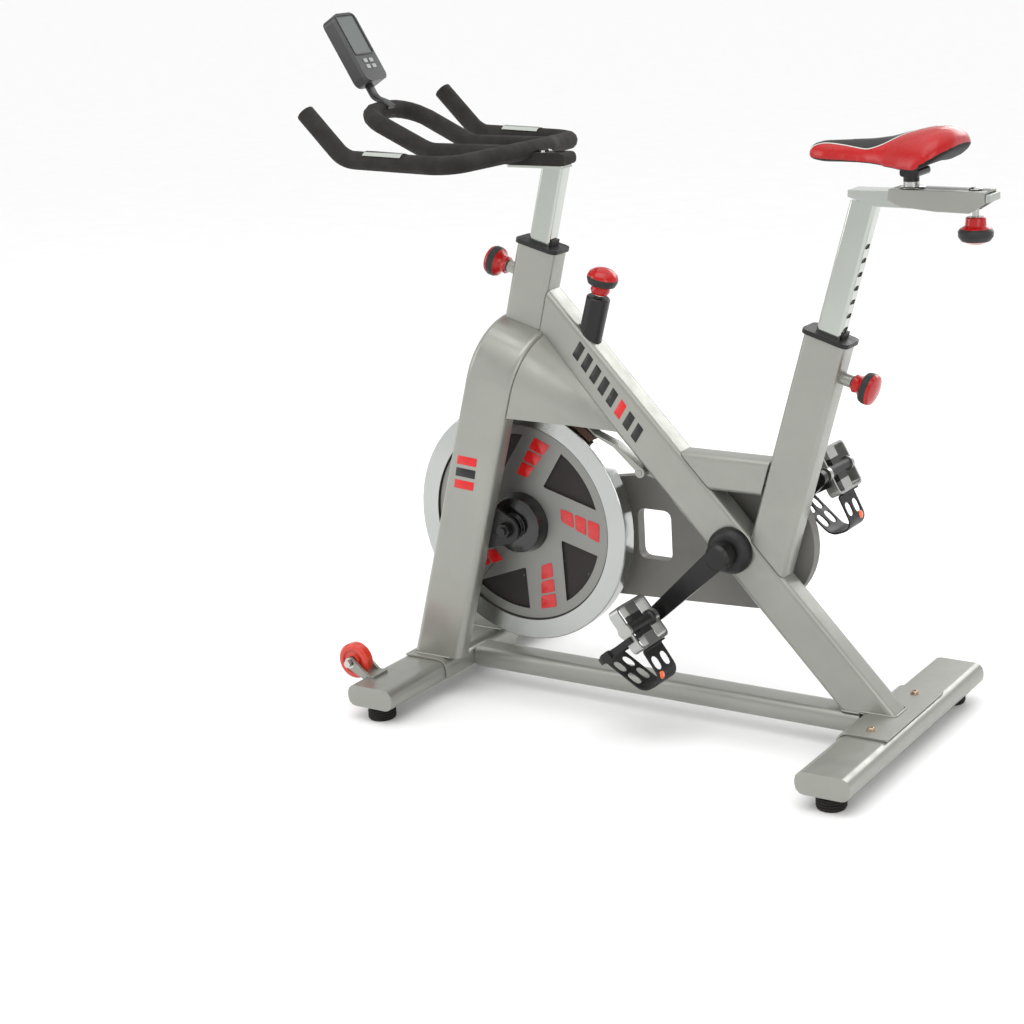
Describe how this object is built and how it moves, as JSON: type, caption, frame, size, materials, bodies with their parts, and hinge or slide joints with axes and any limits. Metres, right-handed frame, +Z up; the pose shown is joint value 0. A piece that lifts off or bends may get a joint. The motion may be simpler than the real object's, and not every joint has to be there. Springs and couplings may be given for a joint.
{
  "type": "indoor exercise cycle",
  "caption": "Indoor exercise cycle with a belt-driven flywheel, a push brake, and a saddle and handlebar on sliding posts held by pull pins.",
  "frame": {"origin": "on the floor, under the middle of the machine's length and width", "axes": "+Z up, +X from the handlebar end towards the saddle end, +Y towards the belt side"},
  "size_m": [1.297, 0.567, 1.26],
  "materials": {
    "frame_paint": "warm silver metallic paint, fine orange peel",
    "chrome": "bright plated steel",
    "bright_steel": "turned and polished steel",
    "black_metal": "satin black coating on steel",
    "black_plastic": "moulded black plastic",
    "black_rubber": "moulded black rubber",
    "grip": "dark grey-brown foam grip sleeve",
    "saddle_cover": "glossy red and black stretched vinyl",
    "knob_red": "glossy red moulded plastic with dark bands",
    "wheel_orange": "orange-red moulded wheel",
    "cover_grey": "warm grey moulded shell",
    "felt": "brown pressed felt",
    "key_grey": "light grey keys"
  },
  "bodies": {
    "frame": {"front_stabiliser": "frame_paint", "rear_stabiliser": "frame_paint", "front_saddle_plate": "frame_paint", "rear_saddle_plate": "frame_paint", "lower_rail": "frame_paint", "front_fork": "frame_paint", "head_tube": "frame_paint", "diagonal_tube": "frame_paint", "seat_tube": "frame_paint", "cross_brace": "frame_paint", "fork_hood_left": "frame_paint", "fork_hood_right": "frame_paint", "transport_bracket_left": "frame_paint", "transport_bracket_right": "frame_paint", "flywheel_axle": "black_metal", "axle_bracket_left": "black_metal", "axle_bracket_right": "black_metal", "belt_cover_inner": "cover_grey", "belt_cover_outer": "cover_grey", "drive_belt": "black_rubber", "bottom_bracket": "black_plastic", "brake_housing": "black_metal", "head_bushing": "black_plastic", "seat_bushing": "black_plastic"},
    "flywheel": {"flywheel": "bright_steel", "flywheel_hub": "black_metal"},
    "crank": {"crank_pulley": "black_plastic", "crank_spindle": "bright_steel", "crank_left": "black_metal", "crank_right": "black_metal"},
    "pedal_left": {"pedal_left": "bright_steel", "toe_clip_left": "black_plastic"},
    "pedal_right": {"pedal_right": "bright_steel", "toe_clip_right": "black_plastic"},
    "brake_rod": {"brake_rod": "bright_steel"},
    "brake_knob": {"brake_knob": "knob_red"},
    "brake_arm": {"brake_arm": "frame_paint", "brake_pad": "felt"},
    "handlebar": {"handlebar_post": "chrome", "handlebar": "grip", "pulse_plate_left": "chrome", "pulse_plate_right": "chrome", "console": "black_plastic"},
    "handlebar_pin": {"handlebar_pin": "knob_red"},
    "seat_pin": {"seat_pin": "knob_red"},
    "seat_post": {"seat_post": "chrome"},
    "seat_slider": {"seat_slider": "frame_paint", "saddle_clamp": "black_metal"},
    "slider_knob": {"slider_knob": "knob_red"},
    "saddle": {"saddle": "saddle_cover"},
    "console_key_1": {"console_key_1": "key_grey"},
    "console_key_2": {"console_key_2": "key_grey"},
    "console_key_3": {"console_key_3": "key_grey"},
    "console_key_4": {"console_key_4": "key_grey"},
    "transport_wheel_left": {"transport_wheel_left": "wheel_orange"},
    "levelling_foot_front_left": {"levelling_foot_front_left": "black_rubber"},
    "levelling_foot_rear_left": {"levelling_foot_rear_left": "black_rubber"},
    "transport_wheel_right": {"transport_wheel_right": "wheel_orange"},
    "levelling_foot_front_right": {"levelling_foot_front_right": "black_rubber"},
    "levelling_foot_rear_right": {"levelling_foot_rear_right": "black_rubber"}
  },
  "joints": [
    {"name": "flywheel_spin", "type": "hinge", "parent": "frame", "child": "flywheel", "pos_m": [-0.27251, 0, 0.331], "axis": [0, 1, 0], "continuous": true},
    {"name": "crank_spin", "type": "hinge", "parent": "frame", "child": "crank", "pos_m": [0.16899, 0, 0.333], "axis": [0, 1, 0], "continuous": true},
    {"name": "pedal_left_spin", "type": "hinge", "parent": "crank", "child": "pedal_left", "pos_m": [0.04466, 0, 0.21706], "axis": [0, 1, 0], "continuous": true},
    {"name": "pedal_right_spin", "type": "hinge", "parent": "crank", "child": "pedal_right", "pos_m": [0.29332, 0, 0.44894], "axis": [0, 1, 0], "continuous": true},
    {"name": "brake_push", "type": "slide", "parent": "frame", "child": "brake_rod", "axis": [0.284, 0, 0.9588], "range_m": [-0.0025, 0], "stiffness_N_per_m": 4000, "springref_m": 0.001},
    {"name": "brake_knob_turn", "type": "hinge", "parent": "brake_rod", "child": "brake_knob", "pos_m": [-0.08551, 0, 0.792], "axis": [0.284, 0, 0.9588], "range_deg": [-360, 360]},
    {"name": "brake_arm_swing", "type": "hinge", "parent": "frame", "child": "brake_arm", "pos_m": [-0.01451, 0, 0.452], "axis": [0, 1, 0], "range_deg": [-1.1, 0]},
    {"name": "handlebar_height", "type": "slide", "parent": "frame", "child": "handlebar", "axis": [0.2588, 0, 0.9659], "range_m": [-0.04, 0.1]},
    {"name": "handlebar_pin_pull", "type": "slide", "parent": "frame", "child": "handlebar_pin", "axis": [-0.9659, 0, 0.2588], "range_m": [0, 0.012], "stiffness_N_per_m": 600, "springref_m": -0.004},
    {"name": "seat_height", "type": "slide", "parent": "frame", "child": "seat_post", "axis": [0.2924, 0, 0.9563], "range_m": [-0.2, 0.05]},
    {"name": "seat_pin_pull", "type": "slide", "parent": "frame", "child": "seat_pin", "axis": [0.9563, 0, -0.2924], "range_m": [0, 0.012], "stiffness_N_per_m": 600, "springref_m": -0.004},
    {"name": "seat_fore_aft", "type": "slide", "parent": "seat_post", "child": "seat_slider", "axis": [1, 0, 0], "range_m": [-0.04, 0.02]},
    {"name": "slider_knob_turn", "type": "hinge", "parent": "seat_slider", "child": "slider_knob", "pos_m": [0.61549, 0, 0.93], "axis": [0, 0, 1], "range_deg": [-180, 180]},
    {"name": "saddle_tilt", "type": "hinge", "parent": "seat_slider", "child": "saddle", "pos_m": [0.51599, 0, 1.001], "axis": [0, 1, 0], "range_deg": [-10, 10]},
    {"name": "console_key_1_press", "type": "slide", "parent": "handlebar", "child": "console_key_1", "axis": [0.8581, 0, 0.5135], "range_m": [-0.0008, 0], "stiffness_N_per_m": 400, "springref_m": 0.0006},
    {"name": "console_key_2_press", "type": "slide", "parent": "handlebar", "child": "console_key_2", "axis": [0.8581, 0, 0.5135], "range_m": [-0.0008, 0], "stiffness_N_per_m": 400, "springref_m": 0.0006},
    {"name": "console_key_3_press", "type": "slide", "parent": "handlebar", "child": "console_key_3", "axis": [0.8581, 0, 0.5135], "range_m": [-0.0008, 0], "stiffness_N_per_m": 400, "springref_m": 0.0006},
    {"name": "console_key_4_press", "type": "slide", "parent": "handlebar", "child": "console_key_4", "axis": [0.8581, 0, 0.5135], "range_m": [-0.0008, 0], "stiffness_N_per_m": 400, "springref_m": 0.0006},
    {"name": "transport_wheel_left_spin", "type": "hinge", "parent": "frame", "child": "transport_wheel_left", "pos_m": [-0.52651, -0.222, 0.09], "axis": [0, 1, 0], "continuous": true},
    {"name": "transport_wheel_right_spin", "type": "hinge", "parent": "frame", "child": "transport_wheel_right", "pos_m": [-0.52651, 0.222, 0.09], "axis": [0, 1, 0], "continuous": true},
    {"name": "levelling_foot_front_left_turn", "type": "hinge", "parent": "frame", "child": "levelling_foot_front_left", "pos_m": [-0.45151, -0.25, 0], "axis": [0, 0, 1], "range_deg": [-180, 180]},
    {"name": "levelling_foot_front_right_turn", "type": "hinge", "parent": "frame", "child": "levelling_foot_front_right", "pos_m": [-0.45151, 0.25, 0], "axis": [0, 0, 1], "range_deg": [-180, 180]},
    {"name": "levelling_foot_rear_left_turn", "type": "hinge", "parent": "frame", "child": "levelling_foot_rear_left", "pos_m": [0.46249, -0.25, 0], "axis": [0, 0, 1], "range_deg": [-180, 180]},
    {"name": "levelling_foot_rear_right_turn", "type": "hinge", "parent": "frame", "child": "levelling_foot_rear_right", "pos_m": [0.46249, 0.25, 0], "axis": [0, 0, 1], "range_deg": [-180, 180]}
  ],
  "couplings": [
    {"joint": "crank_spin", "follows": "flywheel_spin", "ratio": 0.27273},
    {"joint": "brake_arm_swing", "follows": "brake_push", "rad_per_m": 6.08}
  ]
}
